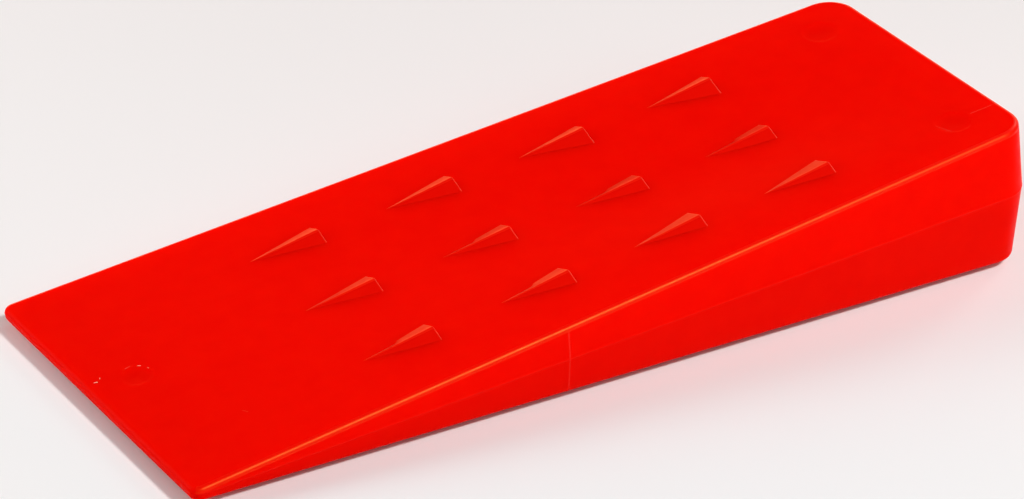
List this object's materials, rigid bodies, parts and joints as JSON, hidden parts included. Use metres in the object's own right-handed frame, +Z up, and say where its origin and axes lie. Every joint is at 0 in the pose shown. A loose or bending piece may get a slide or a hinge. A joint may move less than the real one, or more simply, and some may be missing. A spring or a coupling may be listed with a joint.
{
  "type": "felling wedge",
  "caption": "Long tapered plastic wedge with a blunt thin edge, a thick striking end and half-pyramid barbs on both faces, driven into a saw cut to steer a falling tree.",
  "frame": {"origin": "centre of the footprint, on the surface that the lower barbs stand on", "axes": "+X from the thin edge to the thick striking end, +Y across the wedge, +Z up"},
  "size_m": [0.203, 0.0806, 0.0336],
  "materials": {
    "wedge_plastic": "glossy red-orange injection-moulded plastic"
  },
  "bodies": {
    "root": {"wedge_body": "wedge_plastic", "upper_barb_a1": "wedge_plastic", "upper_barb_a2": "wedge_plastic", "upper_barb_a3": "wedge_plastic", "upper_barb_a4": "wedge_plastic", "upper_barb_b1": "wedge_plastic", "upper_barb_b2": "wedge_plastic", "upper_barb_b3": "wedge_plastic", "upper_barb_b4": "wedge_plastic", "upper_barb_c1": "wedge_plastic", "upper_barb_c2": "wedge_plastic", "upper_barb_c3": "wedge_plastic", "upper_barb_c4": "wedge_plastic", "lower_barb_a1": "wedge_plastic", "lower_barb_a2": "wedge_plastic", "lower_barb_a3": "wedge_plastic", "lower_barb_a4": "wedge_plastic", "lower_barb_b1": "wedge_plastic", "lower_barb_b2": "wedge_plastic", "lower_barb_b3": "wedge_plastic", "lower_barb_b4": "wedge_plastic", "lower_barb_c1": "wedge_plastic", "lower_barb_c2": "wedge_plastic", "lower_barb_c3": "wedge_plastic", "lower_barb_c4": "wedge_plastic"}
  },
  "joints": []
}
